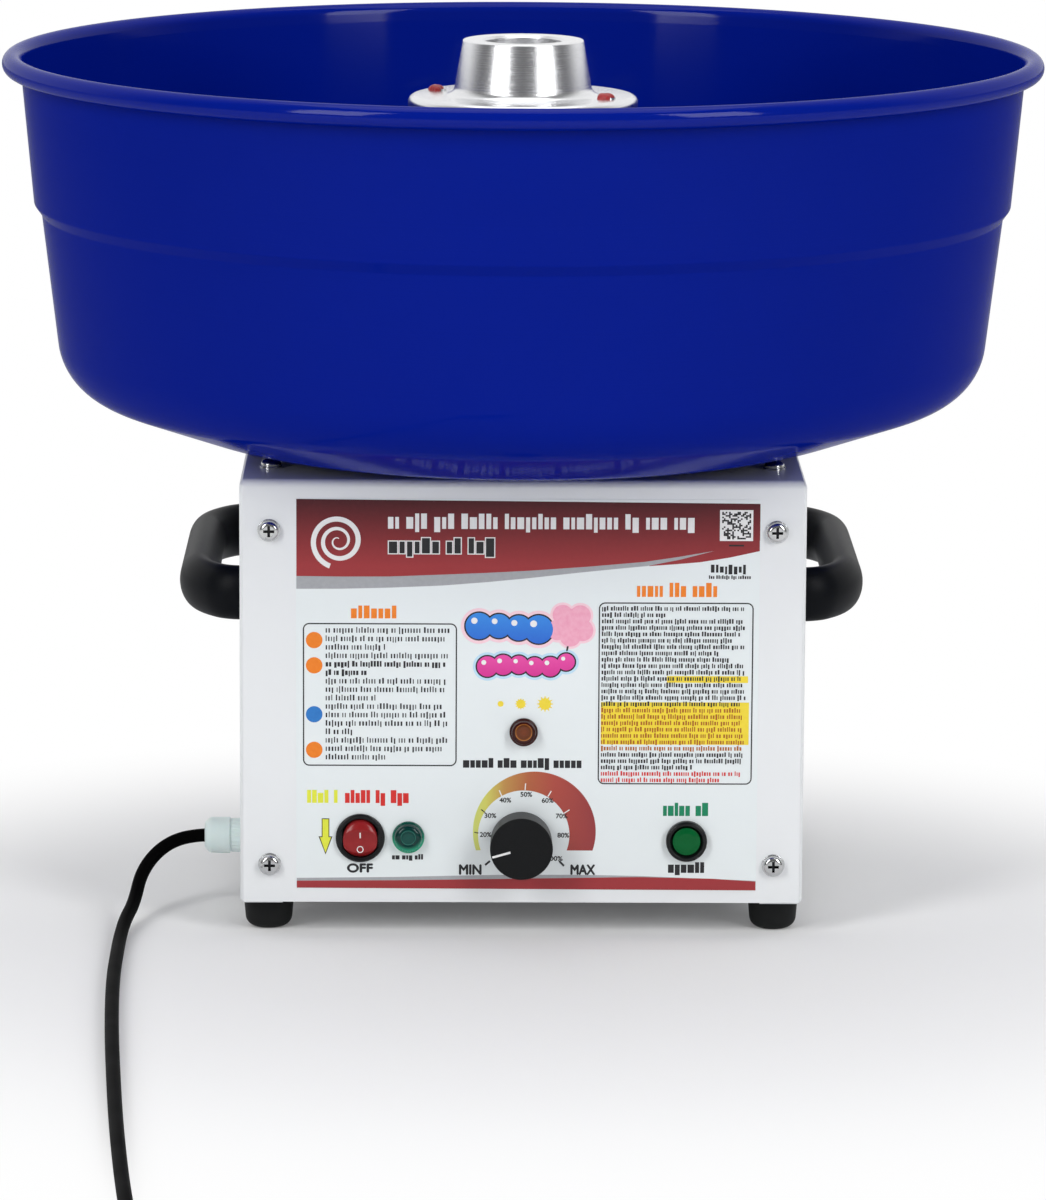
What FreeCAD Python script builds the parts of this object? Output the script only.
import FreeCAD, Part
import math
import os

V = FreeCAD.Vector
UP = V(0, 0, 1)
FRONT = V(0, -1, 0)
REAR = V(0, 1, 0)
LEFT = V(-1, 0, 0)
RIGHT = V(1, 0, 0)

os.makedirs("parts", exist_ok=True)

# Electric candy floss machine, in millimetres. The floor is z = 0, the front faces -Y.

# edges and cuts
crisp_edge = 0.3
small_edge = 0.5
eased_edge = 0.8
cut_past = 1.0

# cabinet of folded steel sheet
cabinet_width = 266.0
cabinet_depth = 240.0
cabinet_height = 202.5
sheet = 1.2
fold_radius = 3.5
panel_show = 1.7
panel_drop = 1.5
flange_width = 20.0
panel_round = 2.4
label_thickness = 0.25
label_left = -106.4
label_right = 111.0
label_bottom_margin = 6.8
label_top_margin = 8.7
vent_slot_length = 70.0
vent_slot_width = 5.0
vent_slot_pitch = 12.0
vent_slot_count = 6
vent_slot_start = 10.5
plate_lip = 10.0
plate_play = 0.3

# feet
foot_height = 14.5
foot_radius = 12.0
foot_taper = 1.6
foot_round = 3.6
foot_inset_x = 13.0
foot_inset_y = 20.0
foot_recess_radius = 4.7
foot_recess_depth = 6.0
foot_screw_head_radius = 4.3
foot_screw_head_height = 2.6
foot_screw_head_round = 1.2

# screws
screw_radius = 2.4
screw_length = 8.0
screw_head_radius = 4.9
screw_head_height = 3.0
screw_head_crown = 2.4
screw_washer_radius = 5.4
screw_washer_thickness = 0.8
recess_width = 1.3
recess_length = 5.2
recess_depth = 1.9
cover_screw_inset = 14.0
cover_screw_low = 18.3
cover_screw_below_top = 23.9
top_screw_inset = 35.5
nut_height = 4.0
nut_flats = 10.0

# carrying handles
handle_rise = 142.0
handle_half_pitch = 84.0
handle_width = 18.0
handle_thickness = 26.0
handle_tight_radius = 14.0
handle_tight_turn = 50.0
handle_reach = 22.0
handle_screw_radius = 2.9
handle_screw_depth = 12.0

# basin
bowl_sheet = 1.0
bowl_height = 185.0
bead_radius = 5.0
bead_join = 0.6
bead_over = 0.8
rim_radius = 250.0
bowl_flare = 5.8
bowl_step_width = 3.6
bowl_step_height = 108.0
bowl_step_rise = 5.0
bowl_step_round = 2.5
bowl_lower_lean = 0.118
bowl_floor_border = 81.6
bowl_cone_angle = 19.5
bowl_corner_round = 31.0
bowl_floor_round = 90.0
bowl_hole_radius = 34.0
gasket_thickness = 4.0
gasket_outer_radius = 74.0
bowl_bolt_circle_radius = 63.0
bowl_bolt_count = 4
bowl_bolt_radius = 3.0
bowl_bolt_head_height = 4.0
bowl_bolt_head_round = 1.5

# tower under the spinner head
tower_radius = 42.0
tower_sheet = 1.5
tower_gap = 10.5
tower_flange_radius = 71.0
tower_mouth_radius = 20.0
tower_round = 6.0
tower_foot_round = 2.0

# spinner head, turned aluminium
head_stand = 5.5
head_cone_top_radius = 29.0
head_cone_base_radius = 33.6
head_cone_height = 26.5
head_hole_radius = 19.0
head_hole_flare = 1.2
head_flange_radius = 55.4
head_flange_thickness = 6.0
head_flange_round = 3.5
head_cone_fillet = 5.0
head_gap = 13.5
head_base_radius = 54.0
head_base_thickness = 5.0
head_base_round = 1.5
head_hub_radius = 14.0
head_hub_length = 20.0
head_hub_round = 2.0
head_cavity_radius = 35.0
head_cavity_depth = 2.0
head_post_radius = 4.2
head_post_sink = 0.5
head_screw_circle_radius = 44.2
head_screw_angle = -23.5
head_screw_radius = 2.0
head_screw_head_radius = 3.6
head_screw_head_height = 1.6
head_screw_end = 1.0
ribbon_radius = 37.0
ribbon_thickness = 1.0
ribbon_slot_count = 40
ribbon_slot_width = 1.4
ribbon_rim = 2.0

# motor and shaft
shaft_radius = 6.0
shaft_tail = 22.0
motor_plate_size = 150.0
motor_plate_thickness = 3.0
motor_plate_hole_radius = 25.0
motor_radius = 55.0
motor_shell_thickness = 1.5
motor_shell_height = 80.0
bell_height = 24.0
bell_wall = 3.0
bell_round = 5.0
bearing_radius = 16.0
bearing_inner_radius = 9.0
bearing_height = 10.0
bearing_play = 0.08
bearing_seat_wall = 3.0
bearing_seat_round = 1.0
bell_bore_play = 1.5
stator_height = 50.0
rotor_radius = 28.0
air_gap = 0.4
winding_height = 12.0
winding_inner_radius = 31.0
winding_outer_radius = 44.0
motor_bolt_circle_radius = 49.0
motor_bolt_radius = 2.0
motor_bolt_head_radius = 3.6
motor_bolt_head_height = 3.0
fan_radius = 47.0
fan_height = 13.0
fan_hub_radius = 12.0
fan_disc = 2.0
fan_blade_count = 8
fan_blade_thickness = 1.6
fan_clearance = 2.0
fan_hole_circle = 32.9

# slip rings and brushes
ring_hub_radius = 14.0
ring_hub_height = 36.0
ring_radius = 18.0
ring_height = 10.0
ring_gap = 6.0
ring_hub_drop = 8.5
brush_width = 7.0
brush_height = 6.0
brush_length = 14.0
brush_play = 0.05
holder_width = 16.0
holder_start = 22.0
brush_clearance = 0.2

# rocker switch
rocker_x = -76.2
rocker_rise = 31.2
rocker_bezel_radius = 11.6
rocker_bezel_height = 2.2
rocker_bezel_round = 0.9
rocker_bezel_dish = 0.6
rocker_body_radius = 10.1
rocker_body_depth = 16.0
rocker_opening_radius = 9.4
rocker_opening_width = 17.0
rocker_opening_depth = 8.0
rocker_paddle_radius = 8.7
rocker_paddle_width = 16.2
rocker_face_length = 12.6
rocker_face_height = 5.0
rocker_face_hollow = 0.8
rocker_back_depth = 1.2
rocker_pivot_depth = 1.0
rocker_pivot_radius = 1.0
rocker_pivot_length = 19.2
rocker_pivot_play = 0.06
rocker_tilt = 10.0
tab_width = 4.8
tab_thickness = 0.8
tab_length = 7.0

# signal lamps
green_lamp_x = -53.5
green_lamp_rise = 31.6
green_lamp_radius = 7.6
green_lamp_crown = 3.4
amber_lamp_x = 0.7
amber_lamp_rise = 82.5
amber_lamp_radius = 6.7
amber_lamp_crown = 4.2
lamp_height = 5.6
lamp_rim_height = 1.4
lamp_shoulder = 0.8
lamp_shoulder_width = 1.2
lamp_dome_round = 1.6
lamp_ring_step = 0.3
lamp_ring_depth = 0.4
lamp_ring_round = 0.1
lamp_collar = 2.0
lamp_body_radius = 5.0
lamp_body_depth = 20.0

# start button
button_x = 77.9
button_rise = 30.2
button_bezel_radius = 9.7
button_bezel_height = 3.4
button_bezel_round = 1.2
button_bush_radius = 7.9
button_bush_depth = 20.0
button_cap_radius = 6.6
button_cap_play = 0.3
button_cap_height = 3.0
button_cap_length = 10.0
button_cap_crown = 0.5
button_cap_flat_radius = 4.0
button_cap_crown_round = 6.0
button_mouth_flare = 1.0
button_floor = 2.0
spring_radius = 4.4
spring_wire = 0.45
spring_gap = 0.1
spring_seat_gap = 0.05
spring_turns = 4
spring_steps = 10
button_nut_height = 3.0
button_nut_flats = 19.0

# output knob and potentiometer
knob_x = -0.2
knob_rise = 29.7
knob_radius = 14.8
knob_base_radius = 14.5
knob_height = 16.5
knob_gap = 0.8
knob_edge = 0.7
knob_recess_radius = 11.5
knob_recess_height = 8.0
knob_recess_round = 1.0
knob_pointer_width = 1.2
knob_pointer_depth = 0.4
knob_pointer_start = 5.2
knob_pointer_angle = 195.8
knob_shaft_radius = 3.0
knob_shaft_top = 14.0
pot_bush_radius = 3.7
pot_bush_height = 6.0
pot_bush_play = 0.05
pot_body_radius = 12.0
pot_body_depth = 10.0
pot_floor = 2.0
pot_shaft_gap = 0.4
pot_nut_height = 2.0

# cable gland
gland_y = -65.0
gland_rise = 19.5
gland_body_radius = 8.2
gland_body_length = 5.9
gland_thread_radius = 6.0
gland_thread_length = 6.5
gland_cap_radius = 8.7
gland_cap_length = 12.9
gland_cap_round = 4.2
gland_cap_groove = 0.7
gland_bore_radius = 4.4
gland_nut_radius = 9.5
gland_nut_height = 3.5
seal_length = 9.0
seal_recess = 4.3

# electrical pieces on the bottom plate
board_length = 90.0
board_width = 60.0
board_thickness = 1.6
board_x = 62.0
board_y = 20.0
board_height = 8.0
board_post_radius = 3.0
board_post_inset = 6.0
heat_sink_length = 50.0
heat_sink_height = 24.0
heat_sink_fin = 1.5
heat_sink_fin_count = 6
heat_sink_depth = 18.0
heat_sink_back = 2.0
triac_width = 10.0
triac_height = 15.0
triac_depth = 4.5
triac_leg = 2.0
capacitor_radius = 17.0
capacitor_length = 62.0
capacitor_x = -72.0
capacitor_y = 48.0
capacitor_strap = 1.0
capacitor_strap_width = 14.0
capacitor_strap_foot = 8.0
capacitor_round = 1.5
block_x = -98.0
block_y = -25.0
block_length = 36.0
block_width = 18.0
block_height = 15.0
block_pole_count = 3
block_pole_radius = 2.6
block_hole_floor = 4.0
block_mouth_height = 7.0

# mains lead: round sheathed cable, its plug and the coil of its spare length
cord_radius = 3.2
cord_floor = 3.3
cord_route = [
    (-159.2, -65.0, 35.5),
    (-172.5, -68.5, 30.5),
    (-181.8, -77.0, 20.4),
    (-184.4, -95.1, 9.2),
    (-187.7, -115.0, 5.9),
    (-188.9, -140.0, 3.3),
    (-188.6, -170.0, 3.3),
    (-188.0, -212.0, 3.3),
    (-185.6, -268.0, 3.3),
    (-182.2, -328.0, 3.3),
    (-178.2, -388.0, 3.3),
    (-174.0, -448.0, 3.3),
    (-169.4, -506.0, 3.3),
    (-164.6, -560.0, 3.3),
    (-160.0, -604.0, 3.3),
]
coil_outer_turn = 41.6
coil_round = 2.9
coil_centre_y = -668.0
coil_lead = 26.0
coil_join_x = -160.0
plug_sleeve_length = 22.0
plug_sleeve_radius = 5.2
plug_sleeve_start_radius = 4.0
plug_length = 34.0
plug_width = 27.0
plug_thickness = 18.6
plug_round = 4.0
plug_rear_round = 3.2
pin_radius = 2.0
pin_round = 1.4
pin_length = 19.0
pin_pitch = 9.5
pin_offset = 3.0

# places that follow from the sizes above
half_width = cabinet_width / 2
half_depth = cabinet_depth / 2
panel_bottom = foot_height
cabinet_bottom = foot_height + panel_drop
cabinet_top = cabinet_bottom + cabinet_height
front_sheet_half = half_width - panel_show
plate_floor = panel_bottom + sheet
plate_top = plate_floor + sheet
label_front = half_depth + label_thickness
label_bottom = cabinet_bottom + label_bottom_margin
label_top = cabinet_top - label_top_margin
foot_x = half_width - foot_inset_x
foot_y = half_depth - foot_inset_y
cover_screw_x = half_width - cover_screw_inset
top_screw_y = half_depth - top_screw_inset
handle_height = cabinet_bottom + handle_rise
rocker_z = cabinet_bottom + rocker_rise
green_lamp_z = cabinet_bottom + green_lamp_rise
amber_lamp_z = cabinet_bottom + amber_lamp_rise
button_z = cabinet_bottom + button_rise
knob_z = cabinet_bottom + knob_rise
gland_z = cabinet_bottom + gland_rise

bowl_base = cabinet_top + gasket_thickness
bowl_floor = bowl_base + bowl_sheet
rim_top = bowl_base + bowl_height
bead_middle = rim_radius - bead_radius
bead_centre_height = rim_top - bead_radius
bowl_top_radius = bead_middle - bead_radius + bowl_sheet
bowl_step_upper_radius = bowl_top_radius - bowl_flare
bowl_step_lower_radius = bowl_step_upper_radius - bowl_step_width
bowl_flat_radius = bowl_step_lower_radius - bowl_floor_border

head_top = rim_top + head_stand
head_flange_top = head_top - head_cone_height
head_flange_bottom = head_flange_top - head_flange_thickness
head_base_top = head_flange_bottom - head_gap
head_base_bottom = head_base_top - head_base_thickness
head_hub_bottom = head_base_bottom - head_hub_length
tower_top = head_base_bottom - tower_gap
ring_hub_top = head_hub_bottom - ring_hub_drop
ring_hub_bottom = ring_hub_top - ring_hub_height

motor_plate_bottom = cabinet_top - sheet - motor_plate_thickness
shell_top = motor_plate_bottom - bell_height
shell_bottom = shell_top - motor_shell_height
motor_bottom = shell_bottom - bell_height
upper_bearing = shell_top + bell_height - bell_wall - bearing_height
lower_bearing = motor_bottom + bell_wall
stator_bottom = (shell_top + shell_bottom - stator_height) / 2
shaft_bottom = motor_bottom - shaft_tail
coil_centre_x = coil_join_x + coil_outer_turn


def save(name, *solids):
    """Writes one node: a single solid, or a group of separate solids of one kind."""
    for solid in solids:
        if not solid.isValid() or solid.Volume <= 0 or len(solid.Solids) != 1:
            raise ValueError(f"{name}: a piece is not one sound solid")
    shape = solids[0] if len(solids) == 1 else Part.makeCompound(list(solids))
    shape.exportStep(f"parts/{name}.step")


def aimed(shape, direction, at):
    """Turns a shape built along +Z to point along a direction, and moves its origin to a point."""
    placed = shape.copy()
    placed.Placement = FreeCAD.Placement(at, FreeCAD.Rotation(UP, direction)).multiply(shape.Placement)
    return placed


def on_front(shape, x, z, y=-label_front):
    """Stands a shape on the front: its +Z looks out of the panel and its +Y looks up."""
    placed = shape.copy()
    placed.Placement = FreeCAD.Placement(V(x, y, z), FreeCAD.Rotation(RIGHT, 90)).multiply(shape.Placement)
    return placed


def drum(radius, low, high, x=0.0, y=0.0):
    """A cylinder about a vertical line, between two heights."""
    return Part.makeCylinder(radius, high - low, V(x, y, low))


def tube(outer, inner, low, high, x=0.0, y=0.0):
    """A ring with a square section."""
    return drum(outer, low, high, x, y).cut(drum(inner, low - cut_past, high + cut_past, x, y))


def block(low, high):
    """A box between two corners."""
    return Part.makeBox(high[0] - low[0], high[1] - low[1], high[2] - low[2], V(*low))


def hexagon(flats, low, high):
    """A hexagonal bar along Z."""
    radius = flats / math.sqrt(3)
    corners = []
    for i in range(7):
        corners.append(V(radius * math.cos(i * math.pi / 3), radius * math.sin(i * math.pi / 3), low))
    return Part.Face(Part.makePolygon(corners)).extrude(V(0, 0, high - low))


def corner(before, at, after, radius):
    """Start, middle and end of the arc that rounds one corner of a path."""
    into = (before - at).normalize()
    away = (after - at).normalize()
    half = into.getAngle(away) / 2
    reach = radius / math.tan(half)
    middle_line = (into + away).normalize()
    centre = at + middle_line * (radius / math.sin(half))
    return at + into * reach, centre - middle_line * radius, at + away * reach


def tube_along(points, radius):
    """A round tube along straight runs joined by tangent arcs. Returns it with its length and arc radii."""
    edges = []
    radii = []
    at = points[0]
    for before, here, after in zip(points, points[1:], points[2:]):
        run = min((here - before).Length, (after - here).Length)
        turn = math.pi - (before - here).getAngle(after - here)
        radii.append(0.45 * run / math.tan(turn / 2))
        first, middle, last = corner(before, here, after, radii[-1])
        edges.append(Part.LineSegment(at, first).toShape())
        edges.append(Part.Arc(first, middle, last).toShape())
        at = last
    edges.append(Part.LineSegment(at, points[-1]).toShape())
    path = Part.Wire(edges)
    section = Part.Wire(Part.makeCircle(radius, points[0], points[1] - points[0]))
    return path.makePipeShell([section], True, False).Solids[0], path.Length, radii


def rounded_wire(points, closed=True):
    """A wire of straight edges through (x, z, radius) points, with a tangent arc at each corner."""
    places = [V(p[0], 0, p[1]) for p in points]
    count = len(places)
    edges = []
    joints = []
    for i in range(count):
        inner = closed or 0 < i < count - 1
        if inner and points[i][2] > 0:
            joints.append(corner(places[i - 1], places[i], places[(i + 1) % count], points[i][2]))
        else:
            joints.append((places[i], None, places[i]))
    for i in range(count):
        start, middle, end = joints[i]
        if middle is not None:
            edges.append(Part.Arc(start, middle, end).toShape())
        if closed or i < count - 1:
            following = joints[(i + 1) % count][0]
            if (following - end).Length > 1e-6:
                edges.append(Part.LineSegment(end, following).toShape())
    return Part.Wire(edges)


def turned(points):
    """A solid of revolution about Z from a closed (radius, height, rounding) outline."""
    return Part.Face(rounded_wire(points)).revolve(V(0, 0, 0), UP, 360)


def inner_side(path, thickness):
    """The same path shifted to its left by a sheet's thickness, with its roundings adjusted."""
    normals = []
    for a, b in zip(path, path[1:]):
        length = math.hypot(b[0] - a[0], b[1] - a[1])
        normals.append((-(b[1] - a[1]) / length, (b[0] - a[0]) / length))
    shifted = []
    for i, (u, w, radius) in enumerate(path):
        first = normals[max(i - 1, 0)]
        second = normals[min(i, len(normals) - 1)]
        spread = 1 + first[0] * second[0] + first[1] * second[1]
        left_turn = first[0] * second[1] - first[1] * second[0] > 0
        new_radius = radius - thickness if left_turn else radius + thickness
        du = thickness * (first[0] + second[0]) / spread
        dw = thickness * (first[1] + second[1]) / spread
        shifted.append((u + du, w + dw, max(new_radius, 0) if radius > 0 else 0))
    return shifted


def spun(path, thickness):
    """Sheet metal spun about Z: the path is its outer side, met with the metal on the left."""
    return turned(path + inner_side(path, thickness)[::-1])


def pan_screw(length):
    """A cross-recessed pan head screw with a washer face. Its head is above z = 0."""
    top = screw_washer_thickness + screw_head_height
    outline = [
        (0, -length, 0),
        (screw_radius, -length, 0),
        (screw_radius, 0, 0),
        (screw_washer_radius, 0, 0),
        (screw_washer_radius, screw_washer_thickness, crisp_edge),
        (screw_head_radius, screw_washer_thickness, 0),
        (screw_head_radius, top, screw_head_crown),
        (0, top, 0),
    ]
    screw = turned(outline)
    for angle in (0, 90):
        slot = block(
            (-recess_length / 2, -recess_width / 2, top - recess_depth),
            (recess_length / 2, recess_width / 2, top + cut_past),
        )
        slot.rotate(V(0, 0, 0), UP, angle)
        screw = screw.cut(slot)
    return screw


def cover_screw_places():
    """Each cover screw's seat and the way its head looks: front, rear and top."""
    places = []
    for x in (-cover_screw_x, cover_screw_x):
        for height in (cabinet_bottom + cover_screw_low, cabinet_top - cover_screw_below_top):
            places.append((V(x, -half_depth, height), FRONT))
            places.append((V(x, half_depth, height), REAR))
        for y in (-top_screw_y, top_screw_y):
            places.append((V(x, y, cabinet_top), UP))
    return places


def cover_screw_holes():
    """Clearance for the shanks of the cover screws, which also cut their own thread in the flanges."""
    return [aimed(drum(screw_radius, -2 * screw_length, 1), way, at) for at, way in cover_screw_places()]


def bowl_bolt_places():
    """Where the bolts stand that hold tower, basin, gasket, cabinet top and motor plate together."""
    places = []
    for i in range(bowl_bolt_count):
        angle = math.radians(45 + i * 360 / bowl_bolt_count)
        x = bowl_bolt_circle_radius * math.cos(angle)
        y = bowl_bolt_circle_radius * math.sin(angle)
        places.append((x, y))
    return places


def bowl_bolt_holes(low, high):
    """The bolts' holes through one layer."""
    return [drum(bowl_bolt_radius, low - cut_past, high + cut_past, x, y) for x, y in bowl_bolt_places()]


def handle_screw_places():
    """The two screw lines of each handle, given by their signs."""
    return [(side, end) for side in (-1, 1) for end in (-1, 1)]


def handle_screw_holes():
    """Holes along X through both side panels for the handle screws."""
    holes = []
    for side, end in handle_screw_places():
        start = V(side * (half_width - 2 * sheet), end * handle_half_pitch, handle_height)
        hole = drum(handle_screw_radius, 0, 2 * sheet + handle_screw_depth)
        holes.append(aimed(hole, V(side, 0, 0), start))
    return holes


def foot_places():
    """The four feet by name."""
    return {
        "front_left": (-foot_x, -foot_y),
        "front_right": (foot_x, -foot_y),
        "rear_left": (-foot_x, foot_y),
        "rear_right": (foot_x, foot_y),
    }


def foot_screw_holes():
    """The feet's screw holes through side flanges and bottom plate."""
    return [drum(screw_radius, 0, plate_top + cut_past, x, y) for x, y in foot_places().values()]


def control_holes():
    """Holes through front sheet and label for the controls."""
    holes = [
        (rocker_body_radius, rocker_x, rocker_z),
        (lamp_body_radius, green_lamp_x, green_lamp_z),
        (lamp_body_radius, amber_lamp_x, amber_lamp_z),
        (button_bush_radius, button_x, button_z),
        (pot_bush_radius, knob_x, knob_z),
    ]
    return [on_front(drum(radius, -4 * sheet, 1), x, z) for radius, x, z in holes]


def vent_slots():
    """Rounded slots in the rear sheet, in one column each side of the middle."""
    slots = []
    middle = (cabinet_bottom + cabinet_top) / 2
    for column in (-1, 1):
        for row in range(vent_slot_count):
            height = middle + (row - (vent_slot_count - 1) / 2) * vent_slot_pitch
            start = column * vent_slot_start
            end = column * (vent_slot_start + vent_slot_length)
            low_x = min(start, end) + vent_slot_width / 2
            high_x = max(start, end) - vent_slot_width / 2
            slot = block(
                (low_x, half_depth - 2 * sheet, height - vent_slot_width / 2),
                (high_x, half_depth + cut_past, height + vent_slot_width / 2),
            )
            for x in (low_x, high_x):
                end_round = drum(vent_slot_width / 2, 0, 2 * sheet + cut_past)
                slot = slot.fuse(aimed(end_round, REAR, V(x, half_depth - 2 * sheet, height)))
            slots.append(slot)
    return slots


def make_wrap_cover():
    """Front, top and rear of the cabinet: one sheet folded twice."""
    path = [
        (-half_depth, cabinet_bottom, 0),
        (-half_depth, cabinet_top, fold_radius),
        (half_depth, cabinet_top, fold_radius),
        (half_depth, cabinet_bottom, 0),
    ]
    outer = [(u, w, r) for u, w, r in path]
    inner = inner_side(path[::-1], sheet)
    face = Part.Face(rounded_wire(outer + inner))
    cover = face.extrude(V(0, 2 * front_sheet_half, 0))
    cover.rotate(V(0, 0, 0), UP, 90)
    cover.translate(V(front_sheet_half, 0, 0))
    cuts = control_holes() + cover_screw_holes() + vent_slots()
    cuts += bowl_bolt_holes(cabinet_top - sheet, cabinet_top)
    cuts.append(drum(motor_plate_hole_radius, cabinet_top - 2 * sheet, cabinet_top + cut_past))
    return cover.cut(Part.makeCompound(cuts)).Solids[0]


def make_side_panel(side):
    """A side of the cabinet: a tray whose flanges turn inwards behind the wrap cover."""
    depth = half_depth - sheet
    top = cabinet_top - sheet
    outer = block((half_width - flange_width, -depth, panel_bottom), (half_width, depth, top))
    across = [e for e in outer.Edges if abs(e.tangentAt(e.FirstParameter).x) > 0.9]
    outer = outer.makeFillet(fold_radius, across)
    face_edges = [e for e in outer.Edges if abs(e.CenterOfMass.x - half_width) < 1e-6]
    outer = outer.makeFillet(panel_round, face_edges)
    hollow = block(
        (half_width - flange_width - cut_past, -depth + sheet, panel_bottom + sheet),
        (half_width - sheet, depth - sheet, top - sheet),
    )
    tray = outer.cut(hollow)
    if side < 0:
        tray = tray.mirror(V(0, 0, 0), RIGHT)
    cuts = cover_screw_holes() + handle_screw_holes() + foot_screw_holes()
    if side < 0:
        thread = drum(gland_thread_radius, -2 * sheet, 1)
        cuts.append(aimed(thread, LEFT, V(-half_width, gland_y, gland_z)))
    return tray.cut(Part.makeCompound(cuts)).Solids[0]


def make_bottom_plate():
    """The floor of the cabinet, with a turned-up lip at front and rear and a ring of air holes."""
    half_x = half_width - sheet - plate_play
    half_y = half_depth - 2 * sheet - plate_play
    plate = block((-half_x, -half_y, plate_floor), (half_x, half_y, plate_top))
    lip_half = half_width - flange_width - plate_play
    for way in (-1, 1):
        near = way * half_y
        far = way * (half_y - sheet)
        low_y = min(near, far)
        high_y = max(near, far)
        plate = plate.fuse(block((-lip_half, low_y, plate_floor), (lip_half, high_y, plate_top + plate_lip)))
    cuts = foot_screw_holes()
    for i in range(12):
        angle = math.radians(i * 30)
        x = fan_hole_circle * math.cos(angle)
        y = fan_hole_circle * math.sin(angle)
        cuts.append(drum(vent_slot_width / 2, plate_floor - cut_past, plate_top + cut_past, x, y))
    return plate.cut(Part.makeCompound(cuts)).removeSplitter().Solids[0]


def make_label_sheet():
    """The printed vinyl sheet stuck to the front, cut out round the controls."""
    label = block((label_left, -label_front, label_bottom), (label_right, -half_depth, label_top))
    return label.cut(Part.makeCompound(control_holes()))


def make_foot(x, y):
    """A rubber foot, tapering down to a well-rounded tread, with a recess for its screw head."""
    tread = foot_radius - foot_taper
    foot = turned(
        [
            (foot_recess_radius, 0, crisp_edge),
            (tread, 0, foot_round),
            (foot_radius, foot_height, 0),
            (screw_radius, foot_height, 0),
            (screw_radius, foot_recess_depth, 0),
            (foot_recess_radius, foot_recess_depth, 0),
        ]
    )
    foot.translate(V(x, y, 0))
    return foot


def make_foot_screw(x, y):
    """A screw from the foot's recess up through flange and plate."""
    outline = [
        (0, foot_recess_depth - foot_screw_head_height, 0),
        (foot_screw_head_radius, foot_recess_depth - foot_screw_head_height, foot_screw_head_round),
        (foot_screw_head_radius, foot_recess_depth, 0),
        (screw_radius, foot_recess_depth, 0),
        (screw_radius, plate_top + nut_height, 0),
        (0, plate_top + nut_height, 0),
    ]
    screw = turned(outline)
    screw.translate(V(x, y, 0))
    return screw


def make_foot_nut(x, y):
    """The nut on the bottom plate that holds a foot."""
    nut = hexagon(nut_flats, plate_top, plate_top + nut_height)
    nut = nut.cut(drum(screw_radius, 0, plate_top + nut_height + cut_past))
    nut.translate(V(x, y, 0))
    return nut


def grip_section(at, across):
    """The oval section of a handle at a point, across its run."""
    oval = Part.Ellipse(at + V(0, 0, handle_thickness / 2), at + across * (handle_width / 2), at)
    return Part.Face(Part.Wire(oval.toShape()))


def make_handle(side):
    """A moulded bow handle: two bent arms and a grip that runs front to rear."""
    loose_turn = 90 - handle_tight_turn
    tight = math.radians(handle_tight_turn)
    rest = math.radians(loose_turn)
    tight_reach = handle_tight_radius * math.sin(tight)
    loose_radius = (handle_reach - tight_reach) / (1 - math.cos(rest))
    foot = V(half_width, -handle_half_pitch, handle_height)
    tight_axis = foot + V(0, handle_tight_radius, 0)
    arm = grip_section(foot, V(0, 1, 0)).revolve(tight_axis, UP, handle_tight_turn)
    turn = FreeCAD.Rotation(UP, handle_tight_turn)
    middle = tight_axis + turn.multVec(foot - tight_axis)
    across = turn.multVec(V(0, 1, 0))
    loose_axis = middle + across * loose_radius
    bend = grip_section(middle, across).revolve(loose_axis, UP, loose_turn)
    far_turn = FreeCAD.Rotation(UP, loose_turn)
    end = loose_axis + far_turn.multVec(middle - loose_axis)
    grip = grip_section(end, V(1, 0, 0)).extrude(V(0, -2 * end.y, 0))
    half = arm.fuse(bend)
    other = half.mirror(V(0, 0, 0), V(0, 1, 0))
    handle = half.fuse([grip, other]).removeSplitter()
    if side < 0:
        handle = handle.mirror(V(0, 0, 0), RIGHT)
    return handle.cut(Part.makeCompound(handle_screw_holes())).Solids[0]


def make_handle_screw(side, end):
    """A screw from inside the cabinet into a handle's arm."""
    outline = [
        (0, -handle_screw_depth - sheet, 0),
        (handle_screw_radius, -handle_screw_depth - sheet, 0),
        (handle_screw_radius, 0, 0),
        (screw_washer_radius, 0, 0),
        (screw_washer_radius, screw_head_height, bowl_bolt_head_round),
        (0, screw_head_height, 0),
    ]
    at = V(side * (half_width - sheet), end * handle_half_pitch, handle_height)
    return aimed(turned(outline), V(-side, 0, 0), at)


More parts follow.
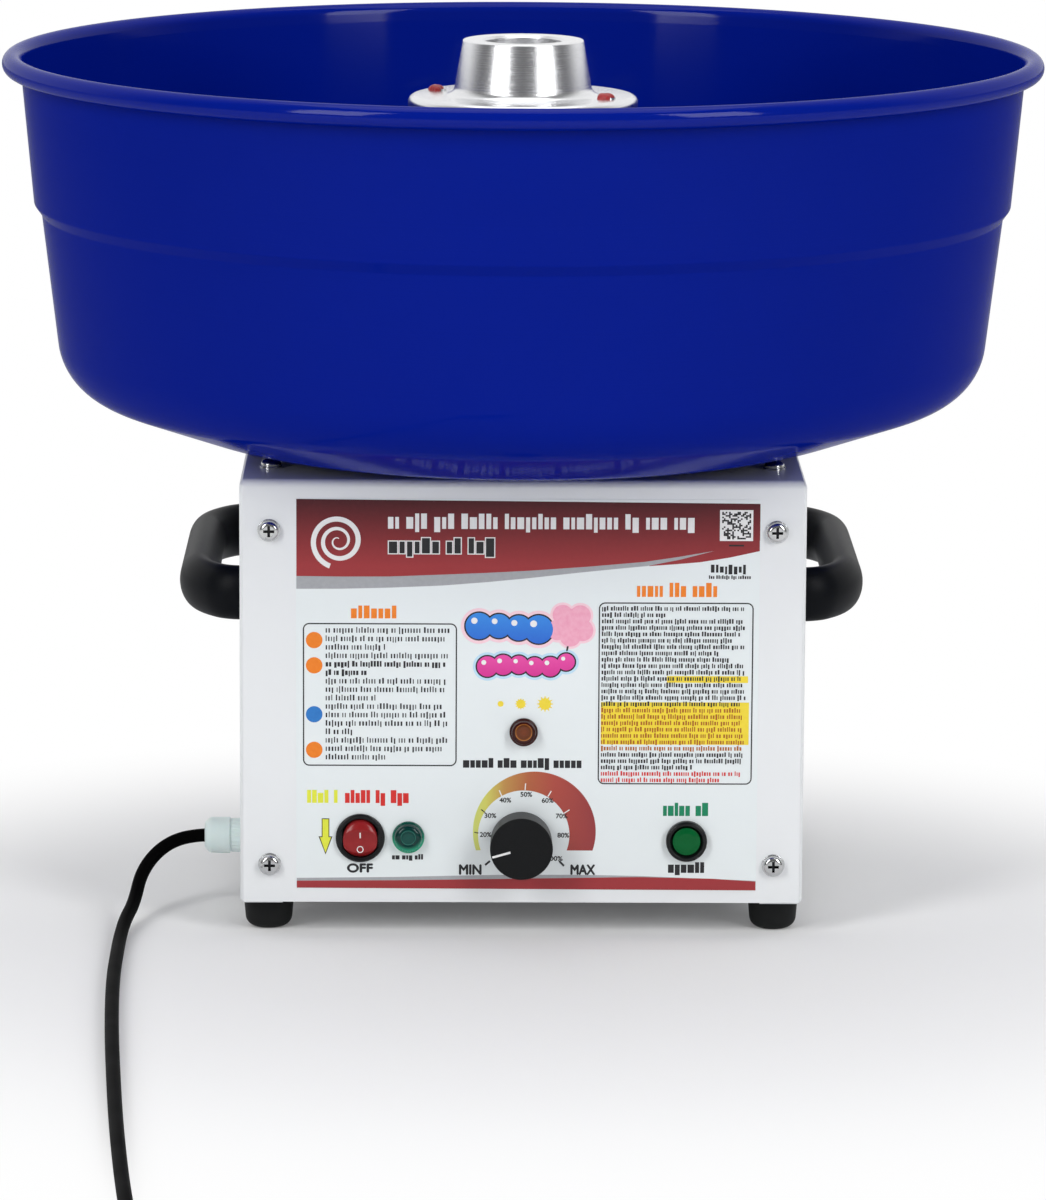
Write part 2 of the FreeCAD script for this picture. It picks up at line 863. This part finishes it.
def make_bowl():
    """The basin: spun sheet with a flat floor, a cone, a round corner, a step and a wired rim."""
    cone = math.tan(math.radians(bowl_cone_angle))
    low_wall_base = bowl_step_lower_radius - bowl_lower_lean * bowl_step_height
    corner_radius = (low_wall_base - bowl_lower_lean * cone * bowl_flat_radius) / (1 - bowl_lower_lean * cone)
    corner_height = (corner_radius - bowl_flat_radius) * cone
    step_top = bowl_base + bowl_step_height + bowl_step_rise
    wall_end = bead_centre_height - bead_radius * bead_join
    outer = [
        (bowl_hole_radius, bowl_base, 0),
        (bowl_flat_radius, bowl_base, bowl_floor_round),
        (corner_radius, bowl_base + corner_height, bowl_corner_round),
        (bowl_step_lower_radius, bowl_base + bowl_step_height, bowl_step_round),
        (bowl_step_upper_radius, step_top, bowl_step_round),
        (bowl_top_radius, wall_end, 0),
    ]
    inner = inner_side(outer, bowl_sheet)
    inner[-1] = (bead_middle - bead_radius, bead_centre_height, 0)
    left = rounded_wire(inner, closed=False)
    right = rounded_wire(outer, closed=False)
    start = V(inner[-1][0], 0, inner[-1][1])
    end = V(outer[-1][0], 0, outer[-1][1])
    centre = V(bead_middle, 0, bead_centre_height)
    reach = (end - centre).normalize() * bead_radius
    meet = centre + reach
    over = V(bead_middle + bead_radius * bead_over, 0, bead_centre_height + bead_radius * bead_join)
    rim = Part.Arc(start, over, meet).toShape()
    lip = Part.LineSegment(meet, end).toShape() if (meet - end).Length > 1e-6 else None
    hub = Part.LineSegment(V(inner[0][0], 0, inner[0][1]), V(outer[0][0], 0, outer[0][1])).toShape()
    edges = left.Edges + [rim] + ([lip] if lip else []) + right.Edges + [hub]
    section = Part.Wire(Part.__sortEdges__(edges))
    bowl = Part.Face(section).revolve(V(0, 0, 0), UP, 360)
    return bowl.cut(Part.makeCompound(bowl_bolt_holes(bowl_base, bowl_floor))).Solids[0]


def make_gasket():
    """The rubber ring between cabinet top and basin."""
    ring = tube(gasket_outer_radius, bowl_hole_radius, cabinet_top, bowl_base)
    return ring.cut(Part.makeCompound(bowl_bolt_holes(cabinet_top, bowl_base)))


def make_bowl_bolt(x, y):
    """A hexagon bolt from the tower's flange down to the motor plate."""
    seat = bowl_floor + tower_sheet
    bolt = hexagon(nut_flats, seat, seat + bowl_bolt_head_height)
    bolt = bolt.fuse(drum(bowl_bolt_radius, motor_plate_bottom - nut_height, seat))
    bolt.translate(V(x, y, 0))
    return bolt


def make_bowl_nut(x, y):
    """The nut under the motor plate."""
    nut = hexagon(nut_flats, motor_plate_bottom - nut_height, motor_plate_bottom)
    nut = nut.cut(drum(bowl_bolt_radius, motor_plate_bottom - 2 * nut_height, motor_plate_bottom + cut_past))
    nut.translate(V(x, y, 0))
    return nut


def make_tower():
    """The column that covers slip rings and brushes, flanged to the basin's floor."""
    path = [
        (tower_mouth_radius, tower_top, 0),
        (tower_radius, tower_top, tower_round),
        (tower_radius, bowl_floor + tower_sheet, tower_foot_round),
        (tower_flange_radius, bowl_floor + tower_sheet, 0),
    ]
    tower = spun(path[::-1], tower_sheet)
    return tower.cut(Part.makeCompound(bowl_bolt_holes(bowl_floor, bowl_floor + tower_sheet))).Solids[0]


def head_screw_places():
    """The two opposite screws that hold the head together."""
    angles = [math.radians(head_screw_angle + turn) for turn in (0, 180)]
    return [(head_screw_circle_radius * math.cos(a), head_screw_circle_radius * math.sin(a)) for a in angles]


def make_head_cap():
    """The head's upper half: a cone with the sugar hole, on a flange with a rounded edge."""
    cap = turned(
        [
            (head_hole_radius, head_flange_bottom, 0),
            (head_flange_radius, head_flange_bottom, eased_edge),
            (head_flange_radius, head_flange_top, head_flange_round),
            (head_cone_base_radius, head_flange_top, head_cone_fillet),
            (head_cone_top_radius, head_top, eased_edge),
            (head_hole_radius + head_hole_flare, head_top, 0),
            (head_hole_radius, head_top - head_hole_flare, 0),
        ]
    )
    seat = head_flange_top - head_screw_head_height / 2
    for x, y in head_screw_places():
        low = head_flange_bottom - cut_past
        high = head_flange_top + cut_past
        cap = cap.cut(drum(head_screw_radius, low, high, x, y))
        cap = cap.cut(drum(head_screw_head_radius, seat, head_flange_top + cut_past, x, y))
    return cap


def make_head_screw(x, y):
    """A cheese head screw through cap and post into the head's base."""
    seat = head_flange_top - head_screw_head_height / 2
    screw = drum(head_screw_head_radius, seat, seat + head_screw_head_height, x, y)
    return screw.fuse(drum(head_screw_radius, head_base_bottom + head_screw_end, seat, x, y))


def make_head_base():
    """The head's lower half: a disc with a shallow dish, two posts and a hub on the shaft."""
    dish = head_base_top - head_cavity_depth
    base = turned(
        [
            (shaft_radius, head_hub_bottom, 0),
            (head_hub_radius, head_hub_bottom, eased_edge),
            (head_hub_radius, head_base_bottom, head_hub_round),
            (head_base_radius, head_base_bottom, head_base_round),
            (head_base_radius, head_base_top, head_base_round),
            (head_cavity_radius, head_base_top, 0),
            (head_cavity_radius - head_cavity_depth, dish, 0),
            (shaft_radius, dish, 0),
        ]
    )
    for x, y in head_screw_places():
        base = base.fuse(drum(head_post_radius, head_base_top - head_post_sink, head_flange_bottom, x, y))
    for x, y in head_screw_places():
        low = head_base_bottom + head_screw_end
        base = base.cut(drum(head_screw_radius, low, head_flange_bottom + cut_past, x, y))
    return base.Solids[0]


def make_ribbon():
    """The heating band between the halves of the head, slotted so that melted sugar flies through."""
    outer = ribbon_radius + ribbon_thickness
    band = tube(outer, ribbon_radius, head_base_top, head_flange_bottom)
    slots = []
    for i in range(ribbon_slot_count):
        slot = block(
            (ribbon_radius - cut_past, -ribbon_slot_width / 2, head_base_top + ribbon_rim),
            (outer + cut_past, ribbon_slot_width / 2, head_flange_bottom - ribbon_rim),
        )
        slot.rotate(V(0, 0, 0), UP, i * 360 / ribbon_slot_count)
        slots.append(slot)
    return band.cut(Part.makeCompound(slots))


def make_motor_plate():
    """The steel plate under the cabinet top that carries the motor."""
    half = motor_plate_size / 2
    top = motor_plate_bottom + motor_plate_thickness
    plate = block((-half, -half, motor_plate_bottom), (half, half, top))
    cuts = bowl_bolt_holes(motor_plate_bottom, top) + motor_bolt_holes(motor_plate_bottom, top)
    cuts.append(drum(motor_plate_hole_radius, motor_plate_bottom - cut_past, top + cut_past))
    return plate.cut(Part.makeCompound(cuts))


def motor_bolt_places():
    """The four long bolts that hold the motor together, between the basin bolts."""
    angles = [math.radians(i * 90) for i in range(4)]
    return [(motor_bolt_circle_radius * math.cos(a), motor_bolt_circle_radius * math.sin(a)) for a in angles]


def motor_bolt_holes(low, high):
    """The long bolts' holes through one layer."""
    return [drum(motor_bolt_radius, low - cut_past, high + cut_past, x, y) for x, y in motor_bolt_places()]


def make_bell(upper):
    """An end bell of the motor, with the bearing's seat in its middle."""
    edge = shell_top if upper else shell_bottom
    outside = motor_plate_bottom if upper else motor_bottom
    way = 1 if upper else -1
    inside = outside - way * bell_wall
    seat_low = inside - way * bearing_height
    bore = shaft_radius + bell_bore_play
    points = [
        (bore, outside, 0),
        (motor_radius, outside, bell_round),
        (motor_radius, edge, 0),
        (motor_radius - bell_wall, edge, 0),
        (motor_radius - bell_wall, inside, bell_round - bell_wall),
        (bearing_radius + bearing_seat_wall, inside, bearing_seat_round),
        (bearing_radius + bearing_seat_wall, seat_low, 0),
        (bearing_radius, seat_low, 0),
        (bearing_radius, inside, 0),
        (bore, inside, 0),
    ]
    return turned(points).cut(Part.makeCompound(motor_bolt_holes(motor_bottom, motor_plate_bottom))).Solids[0]


def make_motor_shell():
    """The rolled steel tube round the stator."""
    return tube(motor_radius, motor_radius - motor_shell_thickness, shell_bottom, shell_top)


def make_stator_core():
    """The stack of stator laminations, pressed into the shell."""
    top = stator_bottom + stator_height
    core = tube(motor_radius - motor_shell_thickness, rotor_radius + air_gap, stator_bottom, top)
    return core.cut(Part.makeCompound(motor_bolt_holes(stator_bottom, top)))


def make_windings():
    """The two rings of copper wire that stand out of the stator."""
    rings = []
    for low in (stator_bottom - winding_height, stator_bottom + stator_height):
        ring = turned(
            [
                (winding_inner_radius, low, 3),
                (winding_outer_radius, low, 3),
                (winding_outer_radius, low + winding_height, 3),
                (winding_inner_radius, low + winding_height, 3),
            ]
        )
        rings.append(ring)
    return rings


def make_motor_bolt(x, y):
    """A long bolt, up through the motor into the motor plate."""
    top = motor_plate_bottom + motor_plate_thickness
    bolt = drum(motor_bolt_radius, motor_bottom, top, x, y)
    return bolt.fuse(drum(motor_bolt_head_radius, motor_bottom - motor_bolt_head_height, motor_bottom, x, y))


def make_fan():
    """The fan on the shaft's tail: a hub, a disc and straight blades."""
    top = motor_bottom - motor_bolt_head_height - fan_clearance
    low = top - fan_height
    fan = drum(fan_hub_radius, low, top).fuse(drum(fan_radius, low, low + fan_disc))
    for i in range(fan_blade_count):
        blade = block(
            (fan_hub_radius - cut_past, -fan_blade_thickness / 2, low + fan_disc / 2),
            (fan_radius, fan_blade_thickness / 2, top),
        )
        blade.rotate(V(0, 0, 0), UP, i * 360 / fan_blade_count)
        fan = fan.fuse(blade)
    return fan.cut(drum(shaft_radius, low - cut_past, top + cut_past)).removeSplitter()


def slip_ring_heights():
    """The low edge of each slip ring."""
    lowest = ring_hub_bottom + (ring_hub_height - 2 * ring_height - ring_gap) / 2
    return [lowest, lowest + ring_height + ring_gap]


def make_brush_holder():
    """The insulating block that guides the two brushes, screwed to the tower's wall."""
    low = ring_hub_bottom
    high = ring_hub_top
    holder = block((holder_start, -holder_width / 2, low), (tower_radius, holder_width / 2, high))
    holder = holder.common(drum(tower_radius - tower_sheet, low, high))
    for edge in slip_ring_heights():
        middle = edge + ring_height / 2
        pocket = block(
            (holder_start - cut_past, -brush_width / 2 - brush_play, middle - brush_height / 2 - brush_play),
            (
                ring_radius + brush_clearance + brush_length,
                brush_width / 2 + brush_play,
                middle + brush_height / 2 + brush_play,
            ),
        )
        holder = holder.cut(pocket)
    return holder.Solids[0]


def make_brush(edge):
    """A carbon brush, its end hollowed to the slip ring."""
    middle = edge + ring_height / 2
    start = ring_radius + brush_clearance
    brush = block(
        (ring_radius - 2 * cut_past, -brush_width / 2, middle - brush_height / 2),
        (start + brush_length, brush_width / 2, middle + brush_height / 2),
    )
    return brush.cut(drum(start, edge - cut_past, edge + ring_height + cut_past)).Solids[0]


def make_rocker_housing():
    """The round black housing of the main switch, with its dished bezel outside the panel."""
    behind = -rocker_body_depth
    housing = turned(
        [
            (0, behind, 0),
            (rocker_body_radius, behind, small_edge),
            (rocker_body_radius, 0, 0),
            (rocker_bezel_radius, 0, 0),
            (rocker_bezel_radius, rocker_bezel_height, rocker_bezel_round),
            (rocker_opening_radius, rocker_bezel_height - rocker_bezel_dish, 0),
            (0, rocker_bezel_height - rocker_bezel_dish, 0),
        ]
    )
    half = rocker_opening_width / 2
    opening = drum(rocker_opening_radius, -rocker_opening_depth, rocker_bezel_height)
    slab = block(
        (-half, -rocker_opening_radius, -rocker_opening_depth),
        (half, rocker_opening_radius, rocker_bezel_height),
    )
    housing = housing.cut(opening.common(slab))
    reach = rocker_pivot_length / 2 + rocker_pivot_play
    pivot = drum(rocker_pivot_radius + rocker_pivot_play, -reach, reach)
    housing = housing.cut(aimed(pivot, RIGHT, V(0, 0, -rocker_pivot_depth)))
    for x in (-tab_width, 0, tab_width):
        tab = block(
            (x - tab_thickness / 2, -tab_width / 2, behind - tab_length),
            (x + tab_thickness / 2, tab_width / 2, behind),
        )
        housing = housing.fuse(tab)
    return on_front(housing.Solids[0], rocker_x, rocker_z)


def make_rocker_paddle():
    """The red paddle on its pivot pin: a hollow face between two sloping ends, its upper end out."""
    half = rocker_paddle_width / 2
    face = rocker_face_length / 2
    side = [
        V(-half, rocker_paddle_radius, -rocker_back_depth),
        V(-half, rocker_paddle_radius, 0),
        V(-half, face, rocker_face_height),
        V(-half, -face, rocker_face_height),
        V(-half, -rocker_paddle_radius, 0),
        V(-half, -rocker_paddle_radius, -rocker_back_depth),
    ]
    edges = [Part.LineSegment(a, b).toShape() for a, b in zip(side, side[1:] + side[:1]) if a is not side[2]]
    middle = V(-half, 0, rocker_face_height - rocker_face_hollow)
    edges.append(Part.Arc(side[2], middle, side[3]).toShape())
    section = Part.Face(Part.Wire(Part.__sortEdges__(edges)))
    paddle = section.extrude(V(rocker_paddle_width, 0, 0))
    paddle = paddle.common(drum(rocker_paddle_radius, -rocker_back_depth, rocker_face_height))
    pin = drum(rocker_pivot_radius, -rocker_pivot_length / 2, rocker_pivot_length / 2)
    paddle = paddle.fuse(aimed(pin, RIGHT, V(0, 0, 0)))
    paddle.rotate(V(0, 0, 0), RIGHT, rocker_tilt)
    paddle.translate(V(0, 0, -rocker_pivot_depth))
    return on_front(paddle.Solids[0], rocker_x, rocker_z)


def make_lens(radius, crown, x, z):
    """A lamp's coloured lens: a rim on the panel and a dome with a flat crown."""
    lens = turned(
        [
            (0, 0, 0),
            (radius, 0, 0),
            (radius, lamp_rim_height, small_edge),
            (radius - lamp_shoulder, lamp_rim_height, crisp_edge),
            (crown + lamp_shoulder_width, lamp_height, lamp_dome_round),
            (crown, lamp_height, crisp_edge),
            (crown - lamp_ring_step, lamp_height - lamp_ring_depth, lamp_ring_round),
            (0, lamp_height - lamp_ring_depth, 0),
        ]
    )
    return on_front(lens, x, z)


def make_lamp_body(x, z):
    """A lamp's barrel behind the panel, with its push-on ring."""
    behind = label_thickness + sheet
    body = drum(lamp_body_radius, -lamp_body_depth, 0)
    ring = drum(lamp_body_radius + lamp_collar, -behind - lamp_collar, -behind)
    return on_front(body.fuse(ring), x, z)


def make_button_housing():
    """The start button's black bezel and threaded bush, bored for the cap."""
    bore = button_cap_radius + button_cap_play
    housing = turned(
        [
            (0, -button_bush_depth, 0),
            (button_bush_radius, -button_bush_depth, small_edge),
            (button_bush_radius, 0, 0),
            (button_bezel_radius, 0, 0),
            (button_bezel_radius, button_bezel_height, button_bezel_round),
            (bore + button_mouth_flare, button_bezel_height, crisp_edge),
            (bore, button_bezel_height - 2 * button_mouth_flare, crisp_edge),
            (bore, -button_bush_depth + button_floor, 0),
            (0, -button_bush_depth + button_floor, 0),
        ]
    )
    return on_front(housing, button_x, button_z)


def make_button_cap():
    """The green push cap with a gently domed face."""
    cap = turned(
        [
            (0, button_cap_height - button_cap_length, 0),
            (button_cap_radius, button_cap_height - button_cap_length, crisp_edge),
            (button_cap_radius, button_cap_height - button_cap_crown, small_edge),
            (button_cap_flat_radius, button_cap_height, button_cap_crown_round),
            (0, button_cap_height, 0),
        ]
    )
    return on_front(cap, button_x, button_z)


def make_button_spring():
    """The return spring between the cap and the floor of its bush."""
    low = -button_bush_depth + button_floor + spring_wire + spring_seat_gap
    high = button_cap_height - button_cap_length - spring_wire - spring_seat_gap - spring_gap
    steps = spring_turns * spring_steps
    points = []
    for i in range(steps + 1):
        angle = i * 2 * math.pi / spring_steps
        height = low + (high - low) * i / steps
        points.append(V(spring_radius * math.cos(angle), spring_radius * math.sin(angle), height))
    spring = tube_along(points, spring_wire)[0]
    return on_front(spring, button_x, button_z)


def make_button_nut():
    """The nut behind the panel on the start button's bush."""
    behind = label_thickness + sheet
    nut = hexagon(button_nut_flats, -behind - button_nut_height, -behind)
    nut = nut.cut(drum(button_bush_radius, -behind - button_nut_height - cut_past, cut_past))
    return on_front(nut, button_x, button_z)


def make_knob():
    """The output knob: a cup with a hub for the shaft and a pointer line cut in its face."""
    top = knob_gap + knob_height
    knob = turned(
        [
            (knob_recess_radius, knob_gap, 0),
            (knob_base_radius, knob_gap, crisp_edge),
            (knob_radius, top, knob_edge),
            (0, top, 0),
            (0, knob_shaft_top, 0),
            (knob_shaft_radius, knob_shaft_top, 0),
            (knob_shaft_radius, knob_recess_height, 0),
            (knob_recess_radius, knob_recess_height, knob_recess_round),
        ]
    )
    pointer = block(
        (knob_pointer_start, -knob_pointer_width / 2, top - knob_pointer_depth),
        (knob_radius + cut_past, knob_pointer_width / 2, top + cut_past),
    )
    pointer.rotate(V(0, 0, 0), UP, knob_pointer_angle)
    return on_front(knob.cut(pointer), knob_x, knob_z)


def make_pot_shaft():
    """The potentiometer's spindle, up into the knob's hub."""
    start = -label_thickness - sheet - pot_body_depth + pot_floor + pot_shaft_gap
    return on_front(drum(knob_shaft_radius, start, knob_shaft_top), knob_x, knob_z)


def make_pot_body():
    """The potentiometer: a can behind the panel and a threaded bush through it."""
    behind = label_thickness + sheet
    body = drum(pot_body_radius, -behind - pot_body_depth, -behind)
    body = body.fuse(drum(pot_bush_radius, -behind, pot_bush_height))
    start = -behind - pot_body_depth + pot_floor
    body = body.cut(drum(knob_shaft_radius + pot_bush_play, start, pot_bush_height + cut_past))
    return on_front(body.Solids[0], knob_x, knob_z)


def make_pot_nut():
    """The nut on the potentiometer's bush, under the knob."""
    nut = hexagon(nut_flats, 0, pot_nut_height)
    return on_front(nut.cut(drum(pot_bush_radius, -cut_past, pot_nut_height + cut_past)), knob_x, knob_z)


def gland_at(shape):
    """Places a gland piece, built outwards along +Z from the panel's face."""
    return aimed(shape, LEFT, V(-half_width, gland_y, gland_z))


def make_gland_body():
    """The gland's body: a collar outside the panel and a thread through it."""
    body = turned(
        [
            (gland_bore_radius, -gland_thread_length, 0),
            (gland_thread_radius, -gland_thread_length, crisp_edge),
            (gland_thread_radius, 0, 0),
            (gland_body_radius, 0, small_edge),
            (gland_body_radius, gland_body_length, small_edge),
            (gland_bore_radius, gland_body_length, 0),
        ]
    )
    return gland_at(body)


def make_gland_cap():
    """The gland's domed clamping nut."""
    low = gland_body_length
    end = low + gland_cap_length
    cap = turned(
        [
            (gland_bore_radius, low, 0),
            (gland_cap_radius - gland_cap_groove, low, 0),
            (gland_cap_radius - gland_cap_groove, low + gland_cap_groove, 0),
            (gland_cap_radius, low + gland_cap_groove, crisp_edge),
            (gland_cap_radius, end, gland_cap_round),
            (gland_bore_radius, end, eased_edge),
        ]
    )
    return gland_at(cap)


def make_gland_seal():
    """The rubber seal that the gland's cap squeezes round the cable's end."""
    end = gland_body_length + gland_cap_length - seal_recess
    return gland_at(drum(gland_bore_radius, end - seal_length, end))


def make_gland_nut():
    """The locknut inside the side panel."""
    nut = hexagon(gland_nut_radius * math.sqrt(3), -sheet - gland_nut_height, -sheet)
    return gland_at(nut.cut(drum(gland_thread_radius, -sheet - gland_nut_height - cut_past, cut_past)))


def make_board():
    """The speed and heat control board on its four posts, with heat sink and power switch."""
    low = plate_top + board_height
    high = low + board_thickness
    left = board_x - board_width / 2
    right = board_x + board_width / 2
    near = board_y - board_length / 2
    far = board_y + board_length / 2
    pieces = [block((left, near, low), (right, far, high))]
    for x in (left + board_post_inset, right - board_post_inset):
        for y in (near + board_post_inset, far - board_post_inset):
            pieces.append(drum(board_post_radius, plate_top, low, x, y))
    sink_low = board_y - heat_sink_length / 2
    sink_high = board_y + heat_sink_length / 2
    back = right - board_post_inset
    sink = block((back - heat_sink_back, sink_low, high), (back, sink_high, high + heat_sink_height))
    gap = (heat_sink_length - heat_sink_fin) / (heat_sink_fin_count - 1)
    for i in range(heat_sink_fin_count):
        start = sink_low + i * gap
        fin = block(
            (back - heat_sink_back - heat_sink_depth, start, high),
            (back - heat_sink_back, start + heat_sink_fin, high + heat_sink_height),
        )
        sink = sink.fuse(fin)
    pieces.append(sink.removeSplitter())
    pieces.append(
        block(
            (back, board_y - triac_width / 2, high + triac_leg),
            (back + triac_depth, board_y + triac_width / 2, high + triac_leg + triac_height),
        )
    )
    return pieces


def make_capacitor():
    """The motor's run capacitor, lying on the bottom plate under a strap."""
    axis_z = plate_top + capacitor_radius
    start = V(capacitor_x, capacitor_y - capacitor_length / 2, axis_z)
    can = turned(
        [
            (0, 0, 0),
            (capacitor_radius, 0, capacitor_round),
            (capacitor_radius, capacitor_length, capacitor_round),
            (0, capacitor_length, 0),
        ]
    )
    can = aimed(can, REAR, start)
    half = capacitor_strap_width / 2
    outer = capacitor_radius + capacitor_strap
    hoop = aimed(drum(outer, -half, half), REAR, V(capacitor_x, capacitor_y, axis_z))
    legs = block(
        (capacitor_x - outer, capacitor_y - half, plate_top),
        (capacitor_x + outer, capacitor_y + half, axis_z),
    )
    inner = drum(capacitor_radius, -half - cut_past, half + cut_past)
    inner = aimed(inner, REAR, V(capacitor_x, capacitor_y, axis_z))
    slot = block(
        (capacitor_x - capacitor_radius, capacitor_y - half - cut_past, plate_top - cut_past),
        (capacitor_x + capacitor_radius, capacitor_y + half + cut_past, axis_z),
    )
    tabs = block(
        (capacitor_x - outer - capacitor_strap_foot, capacitor_y - half, plate_top),
        (capacitor_x + outer + capacitor_strap_foot, capacitor_y + half, plate_top + capacitor_strap),
    )
    strap = hoop.fuse([legs, tabs]).cut(inner.fuse(slot))
    return [can, strap.removeSplitter().Solids[0]]


def make_terminal_block():
    """The mains terminal block on the bottom plate, beside the gland."""
    body = block(
        (block_x - block_width / 2, block_y - block_length / 2, plate_top),
        (block_x + block_width / 2, block_y + block_length / 2, plate_top + block_height),
    )
    pitch = block_length / block_pole_count
    for i in range(block_pole_count):
        y = block_y + (i - (block_pole_count - 1) / 2) * pitch
        top = plate_top + block_height + cut_past
        body = body.cut(drum(block_pole_radius, plate_top + block_hole_floor, top, block_x, y))
        mouth = drum(block_pole_radius, -block_width, block_width)
        body = body.cut(aimed(mouth, RIGHT, V(block_x, y, plate_top + block_mouth_height)))
    return body.Solids[0]


def make_cord():
    """The lead from gland to coil: straight runs joined by tangent arcs."""
    start = V(-half_width - gland_body_length - gland_cap_length + seal_recess, gland_y, gland_z)
    end = V(coil_join_x, coil_centre_y + coil_lead, cord_floor)
    cord, length, radii = tube_along([start] + [V(*p) for p in cord_route] + [end], cord_radius)
    expected = math.pi * cord_radius**2 * length
    print("cord radii", [round(r) for r in radii])
    print("cord length", round(length, 1), "volume ratio", round(cord.Volume / expected, 4))
    return cord


def make_coil():
    """The coil of the lead's spare length, with the two straight ends that enter and leave it."""
    outer = coil_outer_turn + cord_radius
    inner = outer - 4 * cord_radius
    low = cord_floor - cord_radius
    high = low + 4 * cord_radius
    places = ((inner, low), (outer, low), (outer, high), (inner, high))
    coil = turned([(radius, height, coil_round) for radius, height in places])
    entry = Part.makeCylinder(cord_radius, coil_lead, V(-coil_outer_turn, 0, cord_floor), REAR)
    second_layer = cord_floor + 2 * cord_radius
    leave = Part.makeCylinder(cord_radius, coil_lead, V(0, -coil_outer_turn, second_layer), RIGHT)
    coil = coil.fuse([entry, leave])
    coil.translate(V(coil_centre_x, coil_centre_y, 0))
    return coil.Solids[0]


def plug_start():
    """The point where the lead enters the plug's sleeve."""
    return V(
        coil_centre_x + coil_lead,
        coil_centre_y - coil_outer_turn,
        cord_floor + 2 * cord_radius,
    )


def make_plug():
    """The moulded plug with its tapered sleeve, lying on the floor beside the coil."""
    radii = (plug_sleeve_start_radius, plug_sleeve_radius)
    sleeve = Part.makeCone(*radii, plug_sleeve_length, V(0, 0, 0), RIGHT)
    body = block(
        (plug_sleeve_length, -plug_width / 2, -plug_thickness / 2),
        (plug_sleeve_length + plug_length, plug_width / 2, plug_thickness / 2),
    )
    body = body.makeFillet(plug_round, [e for e in body.Edges if abs(e.tangentAt(e.FirstParameter).x) > 0.9])
    rear = [e for e in body.Edges if abs(e.CenterOfMass.x - plug_sleeve_length) < 1e-6]
    body = body.makeFillet(plug_rear_round, rear)
    plug = sleeve.fuse(body)
    plug.translate(plug_start())
    return plug.Solids[0]


def make_pins():
    """The plug's three round pins."""
    face = plug_start() + V(plug_sleeve_length + plug_length, 0, 0)
    pins = []
    for shift, lift in ((-pin_pitch, 0), (0, pin_offset), (pin_pitch, 0)):
        pin = turned(
            [
                (0, 0, 0),
                (pin_radius, 0, 0),
                (pin_radius, pin_length, pin_round),
                (0, pin_length, 0),
            ]
        )
        pins.append(aimed(pin, RIGHT, face + V(0, shift, lift)))
    return pins


save("wrap_cover", make_wrap_cover())
save("side_panel_left", make_side_panel(-1))
save("side_panel_right", make_side_panel(1))
save("bottom_plate", make_bottom_plate())
save("cover_screws", *[aimed(pan_screw(screw_length), way, at) for at, way in cover_screw_places()])
save("handle_left", make_handle(-1))
save("handle_right", make_handle(1))
save("handle_screws", *[make_handle_screw(side, end) for side, end in handle_screw_places()])
for name, (x, y) in foot_places().items():
    save(f"foot_{name}", make_foot(x, y))
foot_fixings = [make_foot_screw(x, y) for x, y in foot_places().values()]
foot_fixings += [make_foot_nut(x, y) for x, y in foot_places().values()]
save("foot_screws", *foot_fixings)
save("label_sheet", make_label_sheet())

save("bowl", make_bowl())
save("bowl_gasket", make_gasket())
bowl_fixings = [make_bowl_bolt(x, y) for x, y in bowl_bolt_places()]
bowl_fixings += [make_bowl_nut(x, y) for x, y in bowl_bolt_places()]
save("bowl_bolts", *bowl_fixings)
save("tower_housing", make_tower())

save("head_cap", make_head_cap())
save("head_base", make_head_base())
save("heater_ribbon", make_ribbon())
save("head_screws", *[make_head_screw(x, y) for x, y in head_screw_places()])
save("motor_shaft", drum(shaft_radius, shaft_bottom, head_base_top - head_cavity_depth))
save("slip_ring_hub", tube(ring_hub_radius, shaft_radius, ring_hub_bottom, ring_hub_top))
save("slip_rings", *[tube(ring_radius, ring_hub_radius, z, z + ring_height) for z in slip_ring_heights()])
save("brush_holder", make_brush_holder())
save("carbon_brushes", *[make_brush(z) for z in slip_ring_heights()])

save("motor_plate", make_motor_plate())
save("motor_shell", make_motor_shell())
save("motor_end_bells", make_bell(True), make_bell(False))
save("stator_core", make_stator_core())
save("stator_windings", *make_windings())
save("rotor_core", tube(rotor_radius, shaft_radius, stator_bottom, stator_bottom + stator_height))
bearing_lows = [lower_bearing, upper_bearing]
outer_bore = bearing_inner_radius + bearing_play
save("bearing_outer_rings", *[tube(bearing_radius, outer_bore, z, z + bearing_height) for z in bearing_lows])
save(
    "bearing_inner_rings",
    *[tube(bearing_inner_radius, shaft_radius, z, z + bearing_height) for z in bearing_lows],
)
save("motor_bolts", *[make_motor_bolt(x, y) for x, y in motor_bolt_places()])
save("cooling_fan", make_fan())

save("rocker_housing", make_rocker_housing())
save("rocker_paddle", make_rocker_paddle())
save("green_lamp_lens", make_lens(green_lamp_radius, green_lamp_crown, green_lamp_x, green_lamp_z))
save("amber_lamp_lens", make_lens(amber_lamp_radius, amber_lamp_crown, amber_lamp_x, amber_lamp_z))
lamp_places = [(green_lamp_x, green_lamp_z), (amber_lamp_x, amber_lamp_z)]
save("lamp_bodies", *[make_lamp_body(x, z) for x, z in lamp_places])
save("button_housing", make_button_housing())
save("button_cap", make_button_cap())
save("button_spring", make_button_spring())
save("panel_nuts", make_button_nut(), make_pot_nut())
save("knob", make_knob())
save("pot_shaft", make_pot_shaft())
save("pot_body", make_pot_body())

save("gland_body", make_gland_body())
save("gland_cap", make_gland_cap())
save("gland_seal", make_gland_seal())
save("gland_locknut", make_gland_nut())
save("control_board", *make_board())
save("run_capacitor", *make_capacitor())
save("terminal_block", make_terminal_block())
save("power_cord", make_cord())
save("cord_coil", make_coil())
save("plug_body", make_plug())
save("plug_pins", *make_pins())
